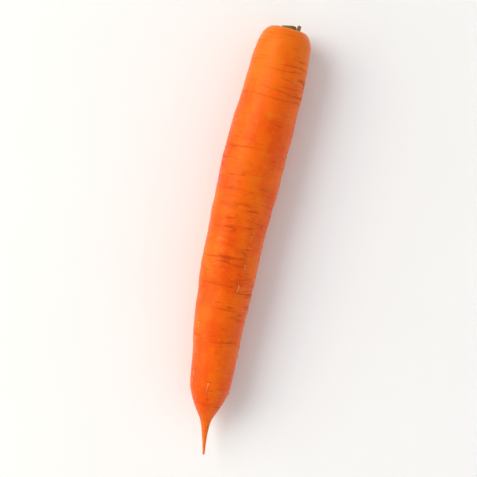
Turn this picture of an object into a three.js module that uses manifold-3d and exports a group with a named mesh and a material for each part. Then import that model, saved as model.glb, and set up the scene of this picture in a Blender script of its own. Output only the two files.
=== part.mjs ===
// A topped carrot, lying on its side on a flat surface. It is one piece, as it grew: a root with a
// rounded shoulder, a sunken crown that still holds the cut bases of its leaf stalks, a long even
// side, a blunt end and a thin tail.
// Millimetres, +Z up. The root lies along X with its crown towards +X, and the origin is on the
// surface under the middle of its bounding box.
import * as THREE from "three";
import { mergeVertices } from "three/addons/utils/BufferGeometryUtils.js";
import Module from "manifold-3d";

// Driving dimensions of the root. Depths are measured down from the top of the shoulder.
const rootLength = 188; // top of the shoulder to the foot of the blunt end
const tailLength = 16;
const neckDiameter = 25.4; // where the side turns over into the shoulder
const bodyDiameter = 28.8; // widest, a third of the way down
const waistDiameter = 26.6; // two thirds of the way down
const lowerDiameter = 21.4; // where the side turns in to the blunt end
const tailDiameter = 5; // where it leaves the blunt end
const tailTipDiameter = 1;
const shoulderDepth = 10;
const bluntEndDepth = 24;

// The crown and what is left of the leaves. The stalks' bases stand in a spiral round the heart
// bud, the oldest outermost, and one slanting cut has topped them all.
const crownDiameter = 10.6; // floor of the crown
const crownRimDiameter = 14.6; // highest ring of the shoulder
const crownDepth = 1.7;
const stalkCount = 7;
const stalkTurn = 137.5; // degrees from each stalk to the next younger one
const stalkStep = 0.42; // how much nearer to the middle each younger one stands
const stalkThickness = 1.1;
const stalkHalfAngle = 38; // degrees of the crown that half of one stalk takes up
const stalkGap = 0.3; // between the outermost stalk and the wall of the crown
const stalkLean = 6; // degrees outwards
const stalkRounding = 0.25;
const stalkSunk = 1.2; // how far a stalk's base reaches into the root
const cutHeight = 3.3; // above the crown's floor, at its middle
const cutSlant = 9; // degrees
const budDiameter = 2;
const budHeight = 2.4;

// How the root bends: share of its whole length, and the offset of its middle from a straight line.
const bends = [
  { share: 0.0, sideways: -1.7, upwards: 0.6 },
  { share: 0.17, sideways: -0.1, upwards: 0.0 },
  { share: 0.38, sideways: 2.3, upwards: 1.1 },
  { share: 0.58, sideways: 2.5, upwards: 1.2 },
  { share: 0.78, sideways: 0.5, upwards: 0.0 },
  { share: 0.92, sideways: -1.6, upwards: 0.3 },
  { share: 1.0, sideways: -4.0, upwards: 2.6 },
];
// The slow swellings that keep the grown root from being round. Each is a share of its radius,
// with its number of lobes round the root, its number of waves along it and its start, in radians.
const swellings = [
  { share: 0.024, lobes: 2, waves: 0.8, start: -1.0 },
  { share: 0.013, lobes: 3, waves: -1.7, start: -1.2 },
  { share: 0.014, lobes: 0, waves: 3.1, start: -0.7 },
  { share: 0.01, lobes: 1, waves: 4.2, start: 1.6 },
  { share: 0.006, lobes: 1, waves: -7.3, start: 0.5 },
];
const settling = 0.3; // depth by which the underside is flattened where the root rests

const sides = 40; // facets round the root
const overallLength = rootLength + tailLength;

const wasm = await Module();
wasm.setup();

function solidFrom(geometry) {
  const bare = geometry.clone();
  for (const name of ["normal", "uv"]) bare.deleteAttribute(name);
  const merged = mergeVertices(bare, 1e-4);
  const mesh = new wasm.Mesh({
    numProp: 3,
    vertProperties: merged.attributes.position.array,
    triVerts: new Uint32Array(merged.index.array),
  });
  return new wasm.Manifold(mesh);
}

function geometryFrom(solid) {
  const mesh = solid.getMesh();
  const geometry = new THREE.BufferGeometry();
  geometry.setAttribute("position", new THREE.BufferAttribute(mesh.vertProperties, 3));
  geometry.setIndex(new THREE.BufferAttribute(mesh.triVerts, 1));
  return geometry;
}

// A point of the straight root's outline, which has the top of its shoulder at height 0.
const outlinePoint = (radius, depth) => new THREE.Vector2(radius, -depth);

function sideCurve() {
  const top = shoulderDepth;
  const bottom = rootLength - bluntEndDepth;
  const at = (share, diameter) =>
    outlinePoint(diameter / 2, THREE.MathUtils.lerp(top, bottom, share));
  return new THREE.SplineCurve([
    at(0, neckDiameter),
    at(0.12, THREE.MathUtils.lerp(neckDiameter, bodyDiameter, 0.72)),
    at(0.34, bodyDiameter),
    at(0.7, waistDiameter),
    at(1, lowerDiameter),
  ]);
}

// Half of the straight root's outline, from the middle of the crown down to the tip of the tail.
function rootOutline() {
  const side = sideCurve();
  const neck = side.getPoint(0);
  const lower = side.getPoint(1);
  const crownEdge = outlinePoint(crownDiameter / 2, crownDepth);
  const rim = outlinePoint(crownRimDiameter / 2, 0);
  const tailTop = outlinePoint(tailDiameter / 2, rootLength);
  const tailFoot = outlinePoint(tailTipDiameter / 2, overallLength - tailTipDiameter / 2);
  const tailEnd = outlinePoint(0, overallLength);

  const crownFloor = new THREE.LineCurve(outlinePoint(0, crownDepth), crownEdge);
  const crownWall = new THREE.CubicBezierCurve(
    crownEdge,
    outlinePoint(THREE.MathUtils.lerp(crownEdge.x, rim.x, 0.5), crownDepth),
    outlinePoint(THREE.MathUtils.lerp(crownEdge.x, rim.x, 0.45), 0),
    rim,
  );
  const shoulder = new THREE.CubicBezierCurve(
    rim,
    outlinePoint(THREE.MathUtils.lerp(rim.x, neck.x, 0.62), 0),
    neck.clone().addScaledVector(side.getTangent(0), -0.55 * shoulderDepth),
    neck,
  );
  const tail = new THREE.QuadraticBezierCurve(
    tailTop,
    outlinePoint(THREE.MathUtils.lerp(tailTop.x, tailFoot.x, 0.72), rootLength + 0.3 * tailLength),
    tailFoot,
  );
  const bluntEnd = new THREE.CubicBezierCurve(
    lower,
    lower.clone().addScaledVector(side.getTangent(1), 0.66 * bluntEndDepth),
    tailTop.clone().addScaledVector(tail.getTangent(0), -0.2 * bluntEndDepth),
    tailTop,
  );
  const tailRounding = new THREE.QuadraticBezierCurve(
    tailFoot,
    outlinePoint(tailFoot.x, overallLength),
    tailEnd,
  );
  const stretches = [
    { curve: crownFloor, rings: 3 },
    { curve: crownWall, rings: 4 },
    { curve: shoulder, rings: 8 },
    { curve: side, rings: 36 },
    { curve: bluntEnd, rings: 12 },
    { curve: tail, rings: 7 },
    { curve: tailRounding, rings: 2 },
  ];
  const points = stretches.flatMap(({ curve, rings }) => curve.getPoints(rings).slice(0, -1));
  return [...points, tailEnd];
}

// The root before it bends, with its crown up +Y.
function straightRoot() {
  // The outline is turned round to run upwards, so that the faces point out.
  return new THREE.LatheGeometry(rootOutline().reverse(), sides);
}

// The base of one cut leaf stalk, a bent strip that stands in the crown of the straight root.
// Its age counts from the oldest, 0.
function stalkBase(age) {
  const direction = THREE.MathUtils.degToRad(age * stalkTurn);
  const radius = crownDiameter / 2 - stalkGap - age * stalkStep;
  const slant = Math.tan(THREE.MathUtils.degToRad(cutSlant));
  const height = cutHeight + radius * Math.cos(direction) * slant;
  const half = THREE.MathUtils.degToRad(stalkHalfAngle);
  const section = new THREE.Shape();
  section.absarc(0, 0, radius - stalkRounding, -half, half, false);
  section.absarc(0, 0, radius - stalkThickness + stalkRounding, half, -half, true);
  section.closePath();
  const base = new THREE.ExtrudeGeometry(section, {
    depth: stalkSunk + height - stalkRounding,
    curveSegments: 5,
    bevelSize: stalkRounding,
    bevelThickness: stalkRounding,
    bevelSegments: 2,
  });
  base.rotateX(-Math.PI / 2); // the strip now rises along +Y
  base.translate(-radius, -stalkSunk, 0);
  base.rotateZ(-THREE.MathUtils.degToRad(stalkLean));
  base.translate(radius, -crownDepth, 0);
  return base.rotateY(direction);
}

function heartBud() {
  const bud = new THREE.SphereGeometry(budDiameter / 2, 12, 8);
  bud.scale(1, (2 * budHeight) / budDiameter, 1);
  return bud.translate(0, -crownDepth, 0);
}

// How much fuller than a true circle the root is at one place, as a share of its radius.
function swelling(angle, depth) {
  const along = (2 * Math.PI * depth) / rootLength;
  const belowShoulder = THREE.MathUtils.smoothstep(depth, 0, 2 * shoulderDepth);
  return swellings.reduce(
    (sum, { share, lobes, waves, start }) =>
      sum + belowShoulder * share * Math.cos(lobes * angle + waves * along + start),
    0,
  );
}

// Moves every point of the straight root to its place round a bent axis that runs towards -X.
function grow(geometry) {
  const axis = new THREE.CatmullRomCurve3(
    bends.map(({ share, sideways, upwards }) => {
      return new THREE.Vector3(-share * overallLength, sideways, upwards);
    }),
  );
  const vertical = new THREE.Vector3(0, 0, 1);
  const position = geometry.getAttribute("position");
  const point = new THREE.Vector3();
  for (let i = 0; i < position.count; i++) {
    point.fromBufferAttribute(position, i);
    const depth = -point.y;
    const share = THREE.MathUtils.clamp(depth / overallLength, 0, 1);
    const along = axis.getTangentAt(share);
    const across = new THREE.Vector3().crossVectors(vertical, along).normalize();
    const upright = new THREE.Vector3().crossVectors(along, across);
    const fullness = 1 + swelling(Math.atan2(point.z, point.x), Math.max(depth, 0));
    const place = axis.getPointAt(share);
    // What stands above the shoulder, such as a stalk's base, carries straight on.
    place.addScaledVector(along, depth - share * overallLength);
    place.addScaledVector(across, point.x * fullness);
    place.addScaledVector(upright, point.z * fullness);
    position.setXYZ(i, place.x, place.y, place.z);
  }
  return geometry;
}

function lowestPoint(position, isInHalf) {
  const lowest = new THREE.Vector3(0, 0, Infinity);
  const point = new THREE.Vector3();
  for (let i = 0; i < position.count; i++) {
    point.fromBufferAttribute(position, i);
    if (isInHalf(point.x) && point.z < lowest.z) lowest.copy(point);
  }
  return lowest;
}

// Tilts the root until its crown half and its tail half both touch the surface, centres it over
// the origin, and flattens the little of its underside that it rests on.
function layDown(geometry) {
  const position = geometry.getAttribute("position");
  const tiltings = 4; // each brings the two lowest points nearer to level
  for (let i = 0; i < tiltings; i++) {
    geometry.computeBoundingBox();
    const middle = geometry.boundingBox.getCenter(new THREE.Vector3()).x;
    const crownHeel = lowestPoint(position, (x) => x > middle);
    const tailHeel = lowestPoint(position, (x) => x <= middle);
    geometry.rotateY(Math.atan2(crownHeel.z - tailHeel.z, crownHeel.x - tailHeel.x));
  }
  geometry.computeBoundingBox();
  const { min, max } = geometry.boundingBox;
  geometry.translate(-(min.x + max.x) / 2, -(min.y + max.y) / 2, -min.z - settling);
  for (let i = 0; i < position.count; i++) position.setZ(i, Math.max(position.getZ(i), 0));
  return geometry;
}

function carrot() {
  const ages = Array.from({ length: stalkCount }, (_, age) => age);
  const additions = [...ages.map(stalkBase), heartBud()];
  const grown = additions.reduce(
    (solid, addition) => solid.add(solidFrom(addition)),
    solidFrom(straightRoot()),
  );
  const skin = new THREE.MeshStandardMaterial({ color: 0xf26a12, roughness: 0.5, metalness: 0 });
  const root = new THREE.Mesh(layDown(grow(geometryFrom(grown))), skin);
  root.name = "carrot";
  return root;
}

const part = new THREE.Group();
part.add(carrot());

export default part;
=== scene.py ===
import math
import bpy
import numpy as np
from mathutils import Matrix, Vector
from mathutils.bvhtree import BVHTree


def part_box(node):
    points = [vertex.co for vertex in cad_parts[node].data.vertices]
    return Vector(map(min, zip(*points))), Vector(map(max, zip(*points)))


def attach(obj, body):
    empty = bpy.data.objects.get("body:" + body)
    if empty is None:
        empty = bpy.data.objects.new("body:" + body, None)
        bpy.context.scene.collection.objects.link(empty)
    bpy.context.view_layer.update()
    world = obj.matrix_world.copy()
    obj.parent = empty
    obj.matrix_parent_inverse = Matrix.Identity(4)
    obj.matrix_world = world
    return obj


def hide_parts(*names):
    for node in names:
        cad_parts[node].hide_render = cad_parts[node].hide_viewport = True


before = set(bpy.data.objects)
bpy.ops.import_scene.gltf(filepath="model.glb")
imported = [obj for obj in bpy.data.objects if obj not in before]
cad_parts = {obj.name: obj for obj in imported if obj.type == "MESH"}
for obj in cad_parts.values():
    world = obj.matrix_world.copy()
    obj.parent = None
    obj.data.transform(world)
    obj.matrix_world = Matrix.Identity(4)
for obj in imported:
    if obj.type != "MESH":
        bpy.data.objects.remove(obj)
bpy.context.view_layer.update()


# ---- The root -------------------------------------------------------------------------------
# A carrot's root is one growth of firm, juicy orange flesh under a thin washed skin. It runs from
# a rounded shoulder along an even side to a blunt end and a thin tail, and it lies on its side.
# It grew in the soil, so its skin carries soft rings, short cross grooves and side-root scars.

MM = 0.001
low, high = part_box("carrot")
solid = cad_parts["carrot"].data
surface = BVHTree.FromPolygons(
    [vertex.co.copy() for vertex in solid.vertices],
    [face.vertices[:] for face in solid.polygons],
)

FEELERS = 24  # rays that feel for one middle
FEEL_AGAIN = 3  # times it is felt for, each time from the last place found


def section_middle(x, guess):
    """The middle of the root where its length reaches x, felt for with rays from inside it."""
    middle = Vector((x, guess.y, guess.z))
    for _ in range(FEEL_AGAIN):
        turns = [math.radians(360 / FEELERS * k) for k in range(FEELERS)]
        rays = [Vector((0, math.cos(turn), math.sin(turn))) for turn in turns]
        hits = [surface.ray_cast(middle, ray)[0] for ray in rays]
        hits = [hit for hit in hits if hit is not None]
        middle = sum(hits, Vector()) / len(hits)
    return middle


def blurred(values, widths):
    """Rows of values, each averaged with its neighbours over its own width, in rows."""
    place = np.arange(len(values))
    spread = np.exp(-0.5 * ((place[None, :] - place[:, None]) / widths[:, None]) ** 2)
    return spread / spread.sum(axis=1, keepdims=True) @ values


def read_off(places, table):
    """The values at some places in a table of (place, value) pairs, with straight lines between."""
    return np.interp(places, *zip(*table))


# The root's own middle line, walked from under the shoulder down to the tip of the tail.
ROW_STEP = 0.34 * MM  # between rings down the side
FAN_DEPTH = 16.5 * MM  # from the highest leaf stalk down to the first middle
TIP_LEFT = 0.3 * MM  # of the tail's tip, too thin to feel
walk = np.arange(high.x - FAN_DEPTH, low.x + TIP_LEFT, -ROW_STEP)
middles = []
guess = Vector((0, (low.y + high.y) / 2, (low.z + high.z) / 2))
for x in walk:
    guess = section_middle(x, guess)
    middles.append(guess[:])
middles = np.array(middles)

# The line is steadied over many rows, and over few at the tail's end, so that the tail keeps its bend.
walk_rows = len(walk)
STEADIED = ((0, 18), (walk_rows - 90, 18), (walk_rows - 1, 3))  # row, and over how many rows
straight = np.linspace(middles[0], middles[-1], walk_rows)
middles = straight + blurred(middles - straight, read_off(np.arange(walk_rows), STEADIED))
middles[:, 0] = walk

to_crown = -np.gradient(middles, axis=0)
to_crown /= np.linalg.norm(to_crown, axis=1, keepdims=True)
across = np.cross([0, 0, 1], to_crown)
across /= np.linalg.norm(across, axis=1, keepdims=True)
upright = np.cross(to_crown, across)

# Rays fan out over the shoulder from the first middle, then leave the middle line square to it.
FAN_ROWS = 62
FAN_START = 26  # degrees from the root's length at which the fan meets the crown's wall
FELT = 48  # rays in each ring
fan = np.linspace(FAN_START, 90, FAN_ROWS, endpoint=False)
tilts = np.radians(np.concatenate([fan, np.full(walk_rows, 90)]))
source = np.concatenate([np.zeros(FAN_ROWS, int), np.arange(walk_rows)])
side_rows = len(tilts)
felt = np.zeros((side_rows, FELT))
for row, (tilt, k) in enumerate(zip(tilts, source)):
    for spoke in range(FELT):
        turn = 2 * math.pi * spoke / FELT
        outwards = math.cos(turn) * across[k] + math.sin(turn) * upright[k]
        ray = math.sin(tilt) * outwards + math.cos(tilt) * to_crown[k]
        hit, _, _, distance = surface.ray_cast(Vector(middles[k]), Vector(ray))
        felt[row, spoke] = distance if hit is not None else felt[row - 1, spoke]

# The facets are taken off: fine lobes round each ring are dropped, and rings are blended.
SPOKES = 156  # points round the root
LUMPS = 6  # lobes round the root that are true shape; finer ones are the solid's flat facets
BLENDED = (  # row, and over how many rows it is blended
    (0, 1.5),
    (14, 3),
    (FAN_ROWS, 5),
    (FAN_ROWS + 40, 9),
    (side_rows - 110, 9),
    (side_rows - 60, 5),
    (side_rows - 1, 2.5),
)
lobes = np.fft.rfft(felt, axis=1)
lobes[:, LUMPS + 1 :] = 0
reach = np.fft.irfft(lobes * SPOKES / FELT, n=SPOKES, axis=1)
reach = blurred(reach, read_off(np.arange(side_rows), BLENDED))

# The tail only ever thins towards its tip.
TIP_ROWS = 20
thickness = reach[-TIP_ROWS:].mean(axis=1)
reach[-TIP_ROWS:] *= (np.minimum.accumulate(thickness) / thickness)[:, None]

turns = 2 * np.pi * np.arange(SPOKES) / SPOKES
outwards = np.cos(turns)[None, :, None] * across[source][:, None]
outwards = outwards + np.sin(turns)[None, :, None] * upright[source][:, None]
lengthways = to_crown[source][:, None]
rays = np.sin(tilts)[:, None, None] * outwards + np.cos(tilts)[:, None, None] * lengthways
side = middles[source][:, None] + reach[:, :, None] * rays

# The crown's sunken floor closes the top, and a rounded tip closes the tail.
FLOOR_ROWS = 14
FLOOR_START = 0.04  # share of the floor's width at its innermost ring
FLOOR_CURVE = 6  # the higher, the later the floor turns up into the wall
CROWN_DEPTH = 1.7 * MM  # from the shoulder's highest ring down to the floor
TIP_RINGS = ((0.85, 0.2 * MM), (0.5, 0.38 * MM))  # share of the last ring's width, distance past it
wall_middle = side[0].mean(axis=0)
wall_height = ((side[:FAN_ROWS] - wall_middle) @ to_crown[0]).mean(axis=1).max()
crown_middle = wall_middle - (CROWN_DEPTH - wall_height) * to_crown[0]
shares = np.linspace(FLOOR_START, 1, FLOOR_ROWS, endpoint=False)[:, None, None]
flat_rings = crown_middle + shares * (side[0] - wall_middle)
floor_rings = flat_rings + shares**FLOOR_CURVE * (wall_middle - crown_middle)
tip = side[-1].mean(axis=0)
tip_rings = [tip + share * (side[-1] - tip) - past * to_crown[-1] for share, past in TIP_RINGS]
skin = np.concatenate([floor_rings, side, tip_rings])
ROWS = len(skin)

# Places on the skin: metres down from the shoulder's highest ring, and the root's radius there.
ring_middle = skin.mean(axis=1, keepdims=True)
girth = np.linalg.norm(skin - ring_middle, axis=2).mean(axis=1)
steps = np.linalg.norm(np.diff(skin, axis=0), axis=2).mean(axis=1)
outline = np.concatenate([[0], np.cumsum(steps)])
above_floor = (skin[: FLOOR_ROWS + FAN_ROWS] - crown_middle) @ to_crown[0]
rim_row = int(above_floor.mean(axis=1).argmax())
depth = outline - outline[rim_row]
root_length = depth[-1]
down = depth[:, None]

# The direction out of the skin at every point.
SPECK = 1e-12  # keeps the division safe
next_row = np.gradient(skin, axis=0)
next_spoke = np.roll(skin, -1, axis=1) - np.roll(skin, 1, axis=1)
normals = np.cross(next_row, next_spoke)
normals /= np.linalg.norm(normals, axis=2, keepdims=True) + SPECK

chance = np.random.default_rng(11)


def mottle(along, around):
    """Soft seeded unevenness over the skin, about 1 either way. Its marks measure along metres
    down the root and around radians round it."""
    rough = chance.standard_normal((ROWS, SPOKES))
    rows = np.fft.fftfreq(ROWS, ROW_STEP)[:, None] * along
    spokes = np.fft.fftfreq(SPOKES, 2 * math.pi / SPOKES)[None, :] * around
    soft = np.fft.ifft2(np.fft.fft2(rough) * np.exp(-2 * (np.pi * np.hypot(rows, spokes)) ** 2)).real
    return soft / soft.std()


def turn_gap(turn):
    """Radians round the root from one direction to every spoke, the short way."""
    return (turns[None, :] - turn + np.pi) % (2 * np.pi) - np.pi


def hump(places):
    """A smooth hump, 1 at place 0 and gone by about 2 on either side."""
    return np.exp(-(places**2))


# What the soil and the growing did to the skin: how far it stands out, and how marked it is.
relief = np.zeros((ROWS, SPOKES))
crease = np.zeros((ROWS, SPOKES))
scar = np.zeros((ROWS, SPOKES))

# Soft lumps, and hoops where growth slowed.
LUMPINESS = (  # height, length down the root, radians round it
    (0.10 * MM, 6 * MM, 0.45),
    (0.075 * MM, 1.9 * MM, 1.1),
)
for tall, along, around in LUMPINESS:
    relief += tall * mottle(along, around)

# Finer wrinkling, in patches: each wrinkle follows a line where the unevenness passes nought.
WRINKLES = (  # depth, length down the root, radians round it
    (0.10 * MM, 1.0 * MM, 0.42),
    (0.06 * MM, 0.62 * MM, 0.25),
)
WRINKLE_WIDTH = 0.32
WRINKLE_MARK = 0.42
patches = np.clip(0.55 + 0.45 * mottle(9 * MM, 0.6), 0.05, 1.3)
for deep, along, around in WRINKLES:
    line = hump(mottle(along, around) / WRINKLE_WIDTH) * patches
    relief -= deep * line
    crease += WRINKLE_MARK * line

# Cross grooves: shallow creases part of the way round, with a low lip on either side.
GROOVES = 210
GROOVE_SPREAD = (1.0, 1.35)  # draws them towards the shoulder
SHORT_GROOVES = 0.6  # share of them
SHORT_HALF = (7, 26)  # degrees from a groove's middle to its end
LONG_HALF = (26, 80)
GROOVE_DEPTH = (0.05, 0.17)  # mm
GROOVE_WIDTH = (0.3, 0.48)  # mm
GROOVE_WAVE = 0.5 * MM
GROOVE_WAVES = 2.3  # to each radian
GROOVE_SLOPE = 0.4  # mm to each radian, at most
LIP_PLACE = 2.1  # groove widths from its middle
LIP_SHARE = 0.28  # of the groove's depth
FULL_CREASE = 0.2 * MM  # the depth that is marked in full
for _ in range(GROOVES):
    start = root_length * chance.beta(*GROOVE_SPREAD)
    turn = chance.uniform(0, 2 * math.pi)
    half = math.radians(chance.uniform(*(SHORT_HALF if chance.random() < SHORT_GROOVES else LONG_HALF)))
    deep = chance.uniform(*GROOVE_DEPTH) * MM
    wide = chance.uniform(*GROOVE_WIDTH) * MM
    gap = turn_gap(turn)
    wave = GROOVE_WAVE * np.sin(GROOVE_WAVES * gap + chance.uniform(0, 6))
    wander = wave + chance.uniform(-GROOVE_SLOPE, GROOVE_SLOPE) * MM * gap
    off = (down - start - wander) / wide
    fade = np.clip(1 - (gap / half) ** 2, 0, 1) ** 0.8
    groove = hump(off) * fade
    lips = (hump(off - LIP_PLACE) + hump(off + LIP_PLACE)) * fade
    relief += deep * (LIP_SHARE * lips - groove)
    crease += groove * deep / FULL_CREASE

# Scars of side roots, in four rows that wander down the root: a short dent with a worn stub.
SCAR_ROWS = 4
SCAR_WANDER = 0.5  # radians
SCAR_WANDER_LENGTH = 60 * MM
SCAR_STRAY = 0.09  # radians that a scar stands off its row
FIRST_SCAR = (9, 20)  # mm down the root
SCAR_GAP = (5, 15)  # mm to the next
SCARS_END = 26 * MM  # from the tail's tip
LOWER_PART = 0.6  # of the root's length, past which the scars stand closer
LOWER_GAP = 0.75  # of the usual gap
SCAR_HALF_WIDTH = (0.8, 2.4)  # mm
SCAR_HALF_HEIGHT = (0.32, 0.5)  # mm
SCAR_DEPTH = (0.12, 0.26)  # mm
scars = []
for k in range(SCAR_ROWS):
    place = chance.uniform(*FIRST_SCAR) * MM
    while place < root_length - SCARS_END:
        row_turn = 2 * math.pi * (k + 0.22) / SCAR_ROWS
        wander = SCAR_WANDER * math.sin(place / SCAR_WANDER_LENGTH + k)
        turn = row_turn + wander + chance.normal(0, SCAR_STRAY)
        half_width = chance.uniform(*SCAR_HALF_WIDTH) * MM
        half_height = chance.uniform(*SCAR_HALF_HEIGHT) * MM
        row = int(np.searchsorted(depth, place))
        sideways = turn_gap(turn) * girth[row] / half_width
        off = (down - place - 0.25 * MM * np.cos(sideways)) / half_height
        dent = np.exp(-(off**2) - sideways**2)
        brow = np.exp(-((off + 1.9) ** 2) - (sideways / 1.15) ** 2)
        stub = np.exp(-((off * 1.6) ** 2) - (sideways * 2.4) ** 2)
        deep = chance.uniform(*SCAR_DEPTH) * MM
        relief += deep * (0.45 * brow - dent + 0.8 * stub)
        scar = np.maximum(scar, 0.9 * dent)
        crease += 0.5 * dent
        scars.append((row, int(round(turn / (2 * math.pi) * SPOKES)) % SPOKES))
        place += chance.uniform(*SCAR_GAP) * MM * (LOWER_GAP if place > LOWER_PART * root_length else 1)

# Rings crowd together round the shoulder, where the blunt end draws in, and along the tail.
CROWDED_STEP = 1.9 * MM
CROWDED_RELIEF = 0.065 * MM
CROWDED_MARK = 0.4
shoulder = hump((down - 5 * MM) / (5 * MM))
blunt_end = hump((down - root_length + 27 * MM) / (8 * MM))
on_tail = hump((down - root_length + 9 * MM) / (9 * MM))
crowding = shoulder + np.maximum(blunt_end, on_tail)
crowded = np.sin(2 * np.pi * down / CROWDED_STEP + 1.3 * mottle(3 * MM, 0.5))
relief += CROWDED_RELIEF * crowded * crowding * np.clip(0.5 + 0.5 * mottle(3 * MM, 0.5), 0, 1)
crease += CROWDED_MARK * np.clip(-crowded, 0, 1) * crowding

# The relief fades where the root is thin, on the crown's floor and up its wall.
BY_GIRTH = ((0.6 * MM, 0), (2 * MM, 0.4), (9 * MM, 1))
BY_ROW = ((0, 0.1), (FLOOR_ROWS, 0.8), (rim_row - 6, 0.35), (rim_row + 6, 1))
REST_GAP = 0.01 * MM  # no point of the skin is nearer than this to the surface it lies on
slimness = read_off(girth, BY_GIRTH)[:, None]
in_crown = read_off(np.arange(ROWS), BY_ROW)[:, None]
skin = skin + normals * (relief * slimness * in_crown)[:, :, None]
skin[:, :, 2] = np.maximum(skin[:, :, 2], REST_GAP)


def ringed_mesh(name, stacks):
    """One piece made of closed skins, each over a stack of rings and drawn to a point at either
    end. Each is unwrapped into an upright strip of its own."""
    points = []
    faces = []
    corners = []
    for number, rings in enumerate(stacks):
        count, spokes = rings.shape[:2]
        start = sum(len(block) for block in points)
        ends = start + count * spokes
        points.append(rings.reshape(-1, 3))
        points.append(np.array([rings[0].mean(axis=0), rings[-1].mean(axis=0)]))
        for i in range(-1, count):
            upper = 1 - (i + 1) / (count + 1)
            lower = 1 - (i + 2) / (count + 1)
            above = start + i * spokes
            below = above + spokes
            for j in range(spokes):
                k = (j + 1) % spokes
                left = (number + j / spokes) / len(stacks)
                right = (number + (j + 1) / spokes) / len(stacks)
                centre = (left + right) / 2
                if i < 0:
                    faces.append((ends, below + j, below + k))
                    corners += [(centre, upper), (left, lower), (right, lower)]
                elif i == count - 1:
                    faces.append((above + k, above + j, ends + 1))
                    corners += [(right, upper), (left, upper), (centre, lower)]
                else:
                    faces.append((above + k, above + j, below + j, below + k))
                    corners += [(right, upper), (left, upper), (left, lower), (right, lower)]
    mesh = bpy.data.meshes.new(name)
    mesh.from_pydata(np.concatenate(points).tolist(), [], faces)
    unwrapped = mesh.uv_layers.new(name="OFBake")
    unwrapped.data.foreach_set("uv", np.array(corners, np.float32).ravel())
    mesh.polygons.foreach_set("use_smooth", [True] * len(mesh.polygons))
    mesh.update()
    piece = bpy.data.objects.new(name, mesh)
    bpy.context.scene.collection.objects.link(piece)
    return piece


def paint(piece, name, stacks):
    """Stores a number for every point of a ringed piece, for its material to read."""
    stored = piece.data.attributes.new(name, "FLOAT", "POINT")
    blocks = [np.append(values.ravel(), [values[0].mean(), values[-1].mean()]) for values in stacks]
    stored.data.foreach_set("value", np.concatenate(blocks).astype(np.float32))


root = ringed_mesh("carrot_root", [skin])
everywhere = np.ones((ROWS, SPOKES))
paint(root, "crease", [np.clip(crease, 0, 1.4)])
paint(root, "scar", [np.clip(scar, 0, 1)])
paint(root, "shoulder_depth", [everywhere * down / MM])
paint(root, "tail_height", [everywhere * (root_length - down) / MM])


class Finish:
    """A material whose nodes are added one by one and end in one shader."""

    def __init__(self, name, **sockets):
        """Sets the shader's own sockets, each named with _ for its spaces."""
        self.material = bpy.data.materials.new(name)
        self.material.use_nodes = True
        self.nodes = self.material.node_tree.nodes
        self.links = self.material.node_tree.links
        self.shader = self.nodes["Principled BSDF"]
        for socket, value in sockets.items():
            self.shader.inputs[socket.replace("_", " ")].default_value = value
        self.place = self.nodes.new("ShaderNodeTexCoord").outputs["Object"]

    def feed(self, socket, value):
        """Links a value into a socket, or sets it there if it is a plain number or colour."""
        if isinstance(value, bpy.types.NodeSocket):
            self.links.new(value, socket)
        else:
            socket.default_value = value

    def grain(self, size, stretch=(1, 1, 1), detail=3, roughness=0.55):
        """Noise from 0 to 1 with marks of about this size, drawn out along X, Y or Z."""
        mapping = self.nodes.new("ShaderNodeMapping")
        mapping.inputs["Scale"].default_value = [1 / (size * s) for s in stretch]
        self.feed(mapping.inputs["Vector"], self.place)
        noise = self.nodes.new("ShaderNodeTexNoise")
        self.feed(noise.inputs["Vector"], mapping.outputs["Vector"])
        noise.inputs["Scale"].default_value = 1
        noise.inputs["Detail"].default_value = detail
        noise.inputs["Roughness"].default_value = roughness
        return noise.outputs["Fac"]

    def painted(self, name):
        """A number that paint() stored on the piece."""
        stored = self.nodes.new("ShaderNodeAttribute")
        stored.attribute_name = name
        return stored.outputs["Fac"]

    def ramp(self, value, start, end, low=0.0, high=1.0):
        """Low up to start, high from end, and a smooth rise between."""
        rise = self.nodes.new("ShaderNodeMapRange")
        rise.interpolation_type = "SMOOTHSTEP"
        self.feed(rise.inputs["Value"], value)
        for socket, number in zip(("From Min", "From Max", "To Min", "To Max"), (start, end, low, high)):
            rise.inputs[socket].default_value = number
        return rise.outputs["Result"]

    def worked(self, operation, first, second):
        """Two values added or multiplied."""
        maths = self.nodes.new("ShaderNodeMath")
        maths.operation = operation
        self.feed(maths.inputs[0], first)
        self.feed(maths.inputs[1], second)
        return maths.outputs[0]

    def over(self, under, colour, share):
        """One colour laid over another, by a share from 0 to 1."""
        mix = self.nodes.new("ShaderNodeMix")
        mix.data_type = "RGBA"
        self.feed(mix.inputs["Factor"], share)
        self.feed(mix.inputs["A"], under)
        self.feed(mix.inputs["B"], colour)
        return mix.outputs["Result"]

    def layered(self, colour, layers):
        """Colours laid over the first in turn, each by a share that a ramp gives."""
        for added, *ramped in layers:
            colour = self.over(colour, added, self.ramp(*ramped))
        return colour

    def coloured(self, colour):
        """Gives the shader its colour."""
        self.feed(self.shader.inputs["Base Color"], colour)

    def bump(self, height, distance, strength):
        """Fine relief, too small for the mesh."""
        bump = self.nodes.new("ShaderNodeBump")
        bump.inputs["Strength"].default_value = strength
        bump.inputs["Distance"].default_value = distance
        self.feed(bump.inputs["Height"], height)
        self.feed(self.shader.inputs["Normal"], bump.outputs["Normal"])


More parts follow.
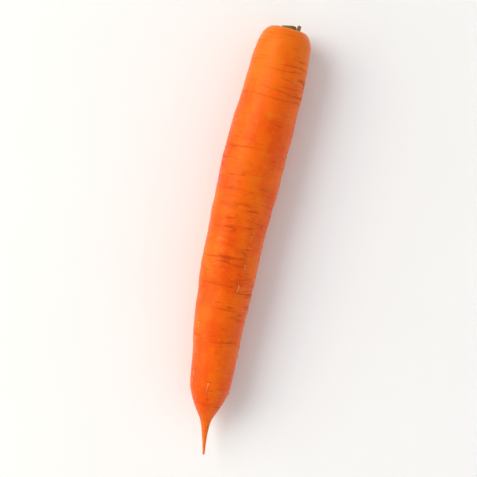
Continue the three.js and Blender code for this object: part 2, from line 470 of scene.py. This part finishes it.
DEEP_ORANGE = (0.82, 0.087, 0.001, 1)
BRIGHT_ORANGE = (0.88, 0.138, 0.002, 1)
PALE_ORANGE = (0.92, 0.27, 0.02, 1)
OCHRE = (0.76, 0.20, 0.012, 1)
GROOVE_RED = (0.50, 0.042, 0.001, 1)
SCAR_BROWN = (0.42, 0.085, 0.007, 1)
SHOULDER_YELLOW = (0.84, 0.185, 0.005, 1)
CROWN_OLIVE = (0.34, 0.16, 0.012, 1)
CORK_PALE = (0.40, 0.20, 0.035, 1)
CORK_DARK = (0.15, 0.065, 0.014, 1)
TAIL_TAN = (0.70, 0.18, 0.025, 1)

washed_skin = Finish(
    "washed_carrot_skin",
    Specular_IOR_Level=0.26,
    Specular_Tint=(1.0, 0.86, 0.4, 1),
    Subsurface_Weight=0.5,
    Subsurface_Scale=0.004,
    Subsurface_Radius=(1.0, 0.28, 0.08),
)
tone = washed_skin.grain(11 * MM, stretch=(1.6, 1, 1))
fibres = washed_skin.grain(0.8 * MM, stretch=(26, 1, 1))
hoops = washed_skin.grain(0.7 * MM, stretch=(0.8, 9, 9), detail=4)
stains = washed_skin.grain(5 * MM, stretch=(1.0, 1.5, 1.5), detail=5, roughness=0.6)
flecks = washed_skin.grain(0.9 * MM, stretch=(0.7, 2.2, 2.2), detail=1)
uneven = washed_skin.grain(3 * MM, stretch=(1.8, 1, 1))
cork = washed_skin.grain(0.55 * MM, detail=4, roughness=0.65)
pores = washed_skin.grain(0.35 * MM, detail=2)
creases = washed_skin.painted("crease")
scarred = washed_skin.painted("scar")
from_rim = washed_skin.painted("shoulder_depth")
from_tip = washed_skin.painted("tail_height")


def ragged_edge(distance, swing):
    """A distance in mm, pushed unevenly either way so that a colour's edge isn't a neat ring."""
    return washed_skin.worked("ADD", distance, washed_skin.ramp(uneven, 0.3, 0.7, -swing, swing))


from_shoulder = ragged_edge(from_rim, 5)
from_crown = ragged_edge(from_rim, 1.2)
from_tail = ragged_edge(from_tip, 3)
floor_cork = washed_skin.over(CORK_DARK, CORK_PALE, washed_skin.ramp(cork, 0.38, 0.62))

# Each colour, what it follows, where that starts and ends, and the colour's share at either end.
SKIN_LAYERS = (
    (BRIGHT_ORANGE, tone, 0.38, 0.62, 0, 1),
    (PALE_ORANGE, fibres, 0.5, 0.75, 0, 0.10),
    (GROOVE_RED, hoops, 0.54, 0.74, 0, 0.3),
    (OCHRE, stains, 0.56, 0.72, 0, 0.55),
    (PALE_ORANGE, flecks, 0.66, 0.74, 0, 0.5),
    (SHOULDER_YELLOW, from_shoulder, 4, 38, 0.8, 0),
    (TAIL_TAN, from_tail, 2, 26, 0.8, 0),
    (GROOVE_RED, creases, 0.12, 1.1, 0, 0.7),
    (SCAR_BROWN, scarred, 0.25, 0.9, 0, 0.55),
    (CROWN_OLIVE, from_crown, -3.0, 2.6, 0.95, 0),
    (floor_cork, from_crown, -3.2, -1.0, 0.9, 0),
)
washed_skin.coloured(washed_skin.layered(DEEP_ORANGE, SKIN_LAYERS))

# The skin is damp and smooth between its creases, and matt in them.
damp = washed_skin.ramp(tone, 0.3, 0.7, 0.33, 0.43)
matt = washed_skin.ramp(creases, 0.1, 1.0, 0, 0.2)
washed_skin.feed(washed_skin.shader.inputs["Roughness"], washed_skin.worked("ADD", damp, matt))
fine = washed_skin.worked("ADD", hoops, washed_skin.worked("MULTIPLY", pores, 0.5))
washed_skin.bump(fine, 0.12 * MM, 0.6)

root.data.materials.append(washed_skin.material)
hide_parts("carrot")
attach(root, "root")


# ---- The leaf stalks' bases -----------------------------------------------------------------
# The leaves were cut off close above the crown in one slanting stroke. What is left of each stalk
# is a short, bent, ribbed strip that grew out of the crown's floor. They stand in a spiral, the
# oldest outermost, and their cut faces have dried brown with pale fibres in them.

STALKS = 7
STALK_TURN = math.radians(137.5)  # from each to the next younger one
STALK_STEP = 0.42 * MM  # how much nearer to the middle each younger one stands
STALK_GAP = 0.35 * MM  # between the oldest stalks and the crown's wall
STALK_THICK = 1.0 * MM
STALK_HALF = math.radians(38)  # from a stalk's middle round to its edge
STALK_LEAN = math.tan(math.radians(6))
STALK_SUNK = 0.9 * MM  # below the crown's floor
CUT_HEIGHT = 3.3 * MM
CUT_SLANT = math.tan(math.radians(9))
RIB_GAP = 0.67 * MM  # from one rib on a stalk's back to the next
FLARE = 0.15  # share that a stalk is thicker at its foot
FLARE_HEIGHT = 0.7 * MM
EDGE_THINNING = 0.35  # share that it is thinner at its two edges
TAPER = 0.10  # share that it is narrower at its top
HOLLOW = 0.22 * MM  # how far the cut face has sunk in drying
SWAY = 0.055  # share of its thickness by which a stalk's sides are uneven
RIB_HEIGHT = 0.07  # share of its thickness
TORN_EDGE = 0.10 * MM  # unevenness of the cut's edge
CUT_GRAIN = 0.03 * MM  # and of its face
STALK_SPOKES = 72

crown_radius = np.linalg.norm(skin[FLOOR_ROWS] - crown_middle, axis=1).mean()

# Across, a stalk is a flattened loop about six times as long as thick, with blunt edges. Its
# points are evenly spaced along it.
loop = np.linspace(0, 2 * np.pi, 2000)
loop_round = np.sign(np.cos(loop)) * np.abs(np.cos(loop)) ** 0.55
loop_thick = np.sign(np.sin(loop)) * np.abs(np.sin(loop)) ** 0.7
paced = np.concatenate([[0], np.cumsum(np.hypot(np.diff(loop_round), np.diff(loop_thick) / 6))])
places = paced[-1] * np.arange(STALK_SPOKES) / STALK_SPOKES
section_round = np.interp(places, paced, loop_round)
section_thick = np.interp(places, paced, loop_thick)


def in_crown_frame(turn, out, up):
    """Points given by their turn round the crown, distance from its middle and height."""
    return (
        crown_middle
        + (out * np.cos(turn))[..., None] * across[0]
        + (out * np.sin(turn))[..., None] * upright[0]
        + up[..., None] * to_crown[0]
    )


def ragged(size, steps):
    """A closed row of seeded small unevennesses, smoothed over a few steps."""
    rough = chance.standard_normal(STALK_SPOKES)
    wave = np.fft.fftfreq(STALK_SPOKES)
    soft = np.fft.ifft(np.fft.fft(rough) * np.exp(-2 * (np.pi * wave * steps) ** 2)).real
    return size * soft / soft.std()


# A stalk's rings, by their height up the stalk and their share of its thickness: in the floor
# from the middle out, up the side and over its rounded rim, then in over the cut face.
FOOT_RINGS = [(0.0, share) for share in (0.1, 0.2, 0.3, 0.5, 0.8)]
SIDE_RINGS = [(level, 1.0) for level in np.linspace(0, 0.93, 12)] + [(0.98, 0.985), (1.0, 0.93)]
CUT_RINGS = [(1.0, share) for share in (0.84, 0.70, 0.56, 0.42, 0.3, 0.2, 0.1)]
# As a ring thins it keeps its length and draws in at the last, and its roughness fades.
LENGTH_BY_SHARE = ((0.1, 0.25), (0.2, 0.58), (0.3, 0.87), (1, 1))
ROUGH_BY_SHARE = ((0.1, 0), (0.3, 0.1), (1, 1))


def stalk_base(turn, out, half, thick, height):
    """The rings of one stalk's base, and how much each belongs to its side and to its cut face."""
    calm = 1 - section_round**2  # the thin ends of the crescent stay even
    sway = ragged(SWAY * thick, 3) * calm
    rib_count = round(2 * half * (out - thick / 2) / RIB_GAP)
    back = np.clip(section_thick, 0, 1) * calm
    ribs = RIB_HEIGHT * thick * np.cos(rib_count * section_round * math.pi) * back
    torn = ragged(TORN_EDGE, 1.6) * (0.2 + 0.8 * calm)
    rings = []
    kinds = []
    for number, (level, share) in enumerate(FOOT_RINGS + SIDE_RINGS + CUT_RINGS):
        on_cut = number >= len(FOOT_RINGS + SIDE_RINGS)
        climb = level * (height + STALK_SUNK) - STALK_SUNK
        flare = 1 + FLARE * math.exp(-max(climb, 0) / FLARE_HEIGHT)
        waist = thick * flare * (1 - EDGE_THINNING * np.abs(section_round) ** 3) / 2
        shortened = read_off(share, LENGTH_BY_SHARE)
        angle = turn + shortened * half * section_round * (1 - TAPER * level)
        across_it = share * section_thick * waist + read_off(share, ROUGH_BY_SHARE) * (ribs + sway)
        distance = out - thick / 2 + across_it + STALK_LEAN * max(climb, 0)
        level_up = climb + torn * level * share
        if on_cut:
            hollow = HOLLOW * (1 - share**2) * (1 + 0.5 * np.cos(9 * share * section_round))
            level_up += share * ragged(CUT_GRAIN, 1.5) * calm - hollow
        slant = CUT_SLANT * distance * np.cos(angle) * np.clip(level_up / height, 0, 1)
        rings.append(in_crown_frame(angle, distance, level_up - slant))
        kinds.append((level, float(on_cut)))
    spokes = np.ones((1, STALK_SPOKES))
    return np.array(rings), [np.array([[kind[k]] for kind in kinds]) * spokes for k in (0, 1)]


# No two stalks are quite alike.
TURN_SPREAD = 0.04  # radians
WIDTH_SPREAD = (0.85, 1.08)  # shares of the usual
THICK_SPREAD = (0.85, 1.1)
CUT_SPREAD = 0.16  # mm
stalks = [
    stalk_base(
        math.pi + age * STALK_TURN + chance.normal(0, TURN_SPREAD),
        crown_radius - STALK_GAP - age * STALK_STEP,
        STALK_HALF * chance.uniform(*WIDTH_SPREAD),
        STALK_THICK * chance.uniform(*THICK_SPREAD),
        CUT_HEIGHT + chance.normal(0, CUT_SPREAD) * MM,
    )
    for age in range(STALKS)
]

# The youngest leaves stand in the heart, cut a little lower than the older ones.
HEART_LEAVES = 6
HEART_HALF = math.radians(44)
HEART_SIZES = (  # mm, for the outermost of them, and how much each further in differs
    (2.5, -0.3),  # distance from the middle
    (0.68, -0.04),  # thickness
    (2.5, 0.14),  # height
)
for k in range(HEART_LEAVES):
    out, thick, tall = [(first + change * k) * MM for first, change in HEART_SIZES]
    stalks.append(stalk_base(STALK_TURN * (STALKS + k), out, HEART_HALF, thick, tall))
stalk_bases = ringed_mesh("leaf_stalk_bases", [rings for rings, _ in stalks])
paint(stalk_bases, "stalk_height", [kinds[0] for _, kinds in stalks])
paint(stalk_bases, "cut_face", [kinds[1] for _, kinds in stalks])

STALK_GREEN = (0.29, 0.22, 0.04, 1)
STALK_PALE = (0.52, 0.27, 0.04, 1)
STALK_BROWN = (0.24, 0.12, 0.03, 1)
CUT_TAN = (0.42, 0.25, 0.085, 1)
CUT_DARK = (0.15, 0.07, 0.022, 1)

cut_stalk = Finish(
    "cut_leaf_stalk",
    Specular_IOR_Level=0.3,
    Subsurface_Weight=0.1,
    Subsurface_Scale=0.001,
)
risen = cut_stalk.painted("stalk_height")
strands = cut_stalk.grain(0.30 * MM, stretch=(6, 1, 1))
bundles = cut_stalk.grain(0.28 * MM, detail=1)
STALK_LAYERS = (
    (STALK_GREEN, risen, 0.25, 0.7),
    (STALK_BROWN, strands, 0.45, 0.7, 0, 0.8),
    (STALK_BROWN, risen, 0.86, 1.0, 0, 0.85),
)
stalk_side = cut_stalk.layered(STALK_PALE, STALK_LAYERS)
cut_face = cut_stalk.over(CUT_DARK, CUT_TAN, cut_stalk.ramp(bundles, 0.36, 0.6))
cut_stalk.coloured(cut_stalk.over(stalk_side, cut_face, cut_stalk.painted("cut_face")))
cut_stalk.feed(cut_stalk.shader.inputs["Roughness"], cut_stalk.ramp(strands, 0.3, 0.7, 0.55, 0.8))
cut_stalk.bump(strands, 0.15 * MM, 0.7)

stalk_bases.data.materials.append(cut_stalk.material)
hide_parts("carrot")
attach(stalk_bases, "root")


# ---- The side roots -------------------------------------------------------------------------
# Fine side roots grew out of the scars. Washing broke most of them off: a few are left as short
# pale hairs on the lower half, where they lie back along the skin towards the tail.

HAIRS = 13
HAIRS_FROM = 0.45  # share of the root's length, down from the shoulder
HAIR_LENGTH = (1.8, 6.0)  # mm
HAIR_THICK = (0.16, 0.26)  # mm, from its middle to its outside at the scar
HAIR_THINNING = 0.75
HAIR_CURL = 0.35
HAIR_LIFT = 0.75 * MM
HAIR_SUNK = 0.35 * MM  # its start is hidden in the scar
HAIR_RINGS = 10
HAIR_SPOKES = 6
SURFACE_GAP = 0.1 * MM  # a hair that would come nearer to the surface below is left out
lower_scars = [place for place in scars if depth[place[0]] > HAIRS_FROM * root_length]
hairs = []
for picked in chance.permutation(len(lower_scars))[:HAIRS]:
    row, spoke = lower_scars[picked]
    tailwards = -to_crown[source[row - FLOOR_ROWS]]
    length = chance.uniform(*HAIR_LENGTH) * MM
    thick = chance.uniform(*HAIR_THICK) * MM
    curl = np.cross(normals[row, spoke], tailwards) * chance.uniform(-HAIR_CURL, HAIR_CURL)
    rings = []
    for step in np.linspace(0, 1, HAIR_RINGS):
        lift = HAIR_LIFT * math.sin(min(step * 4, 1.57)) * (1 - 0.3 * step)
        near, part = divmod(row + length * step / ROW_STEP, 1)
        near = int(near)
        under = (1 - part) * skin[near, spoke] + part * skin[near + 1, spoke]
        out = normals[near, spoke]
        along = under + curl * length * step**2 + out * (lift - HAIR_SUNK)
        around = 2 * np.pi * np.arange(HAIR_SPOKES) / HAIR_SPOKES
        wide = thick * (1 - HAIR_THINNING * step)
        aside = np.cross(tailwards, out)
        rings.append(along + wide * (np.cos(around)[:, None] * aside + np.sin(around)[:, None] * out))
    rings = np.array(rings)
    if rings[:, :, 2].min() > SURFACE_GAP:
        hairs.append(rings)
side_roots = ringed_mesh("side_roots", hairs)

HAIR_PALE = (0.78, 0.42, 0.16, 1)
HAIR_BROWN = (0.58, 0.27, 0.08, 1)
dry_hair = Finish("side_root_hair", Roughness=0.7, Specular_IOR_Level=0.3)
dried = dry_hair.grain(0.8 * MM)
dry_hair.coloured(dry_hair.over(HAIR_PALE, HAIR_BROWN, dry_hair.ramp(dried, 0.4, 0.65)))
side_roots.data.materials.append(dry_hair.material)
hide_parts("carrot")
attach(side_roots, "root")


# ---- The studio -----------------------------------------------------------------------------
# The carrot lies alone on a sheet of pale paper, seen from straight above, with its crown at the
# top of the view and leaning a little to the right. Soft light comes from the view's upper left.

LEAN = math.radians(12)
LENS = 100
SENSOR = 36
FRAME_FILL = 0.90  # share of the view's height that the carrot takes up

view_up = Vector((math.cos(LEAN), math.sin(LEAN), 0))
view_left = Vector((-math.sin(LEAN), math.cos(LEAN), 0))
middle = Vector(((low.x + high.x) / 2, (low.y + high.y) / 2, 0))

camera = bpy.data.objects.new("camera", bpy.data.cameras.new("camera"))
bpy.context.scene.collection.objects.link(camera)
camera.data.lens = LENS
camera.data.sensor_width = SENSOR
seen = (high.x - low.x) * math.cos(LEAN) / FRAME_FILL
camera.location = middle + Vector((0, 0, seen * LENS / SENSOR + high.z / 2))
camera.rotation_euler = (0, 0, LEAN - math.pi / 2)
bpy.context.scene.camera = camera

# A long low soft box beside the carrot draws the pale streak down its left.
EDGE_PLACE = 0.55 * view_left + 0.1 * view_up + Vector((0, 0, 0.27))
EDGE_SIZE = (0.8, 0.24)
EDGE_POWER = 1.9
EDGE_WARM = (1.0, 0.87, 0.68)
edge = bpy.data.objects.new("edge", bpy.data.lights.new("edge", "AREA"))
edge.data.shape = "RECTANGLE"
edge.data.size, edge.data.size_y = EDGE_SIZE
edge.data.energy = EDGE_POWER
edge.data.color = EDGE_WARM
edge.location = middle + EDGE_PLACE
edge.rotation_euler = (middle - edge.location).to_track_quat("-Z", "Y").to_euler()
bpy.context.scene.collection.objects.link(edge)

# A broad high light gives the soft shadow to the lower right.
KEY_POWER = 1.65
KEY_SOFTNESS = math.radians(38)
KEY_RISE = math.tan(math.radians(47))
key = bpy.data.objects.new("key", bpy.data.lights.new("key", "SUN"))
key.data.energy = KEY_POWER
key.data.angle = KEY_SOFTNESS
towards_key = view_left + 0.55 * view_up + Vector((0, 0, KEY_RISE))
key.rotation_euler = (-towards_key).to_track_quat("-Z", "Y").to_euler()
bpy.context.scene.collection.objects.link(key)

ROOM_LIGHT = 0.53
world = bpy.data.worlds.new("studio")
world.use_nodes = True
world.node_tree.nodes["Background"].inputs["Color"].default_value = (1, 1, 1, 1)
world.node_tree.nodes["Background"].inputs["Strength"].default_value = ROOM_LIGHT
bpy.context.scene.world = world
bpy.context.scene.view_settings.view_transform = "Standard"

# The paper runs flat to FLAT metres all round, then sweeps up into a low wall.
FLAT = 1.5
SWEEP = 0.8  # radius of the sweep
WALL = 1.5
SWEEP_STEPS = 16
FLOOR_SPOKES = 96
profile = [(FLAT * 0.5, 0.0)]
for k in range(SWEEP_STEPS + 1):
    turn = math.radians(90 * k / SWEEP_STEPS)
    profile.append((FLAT + SWEEP * math.sin(turn), SWEEP - SWEEP * math.cos(turn)))
profile.append((FLAT + SWEEP, WALL))
floor_points = [(0, 0, 0)]
for out, rise in profile:
    for k in range(FLOOR_SPOKES):
        turn = 2 * math.pi * k / FLOOR_SPOKES
        floor_points.append((out * math.cos(turn), out * math.sin(turn), rise))
floor_faces = []
for k in range(FLOOR_SPOKES):
    following = (k + 1) % FLOOR_SPOKES
    floor_faces.append((0, 1 + k, 1 + following))
    for row in range(len(profile) - 1):
        inner = 1 + row * FLOOR_SPOKES
        outer = inner + FLOOR_SPOKES
        floor_faces.append((inner + k, outer + k, outer + following, inner + following))
floor_mesh = bpy.data.meshes.new("floor")
floor_mesh.from_pydata(floor_points, [], floor_faces)
floor_mesh.polygons.foreach_set("use_smooth", [True] * len(floor_faces))
floor = bpy.data.objects.new("floor", floor_mesh)
bpy.context.scene.collection.objects.link(floor)

PAPER_GREY = (0.91, 0.91, 0.91, 1)
PAPER_WHITE = (0.94, 0.94, 0.94, 1)
paper = Finish("pale_paper", Roughness=0.9, Specular_IOR_Level=0.2)
paper.coloured(paper.over(PAPER_GREY, PAPER_WHITE, paper.grain(60 * MM)))
floor.data.materials.append(paper.material)
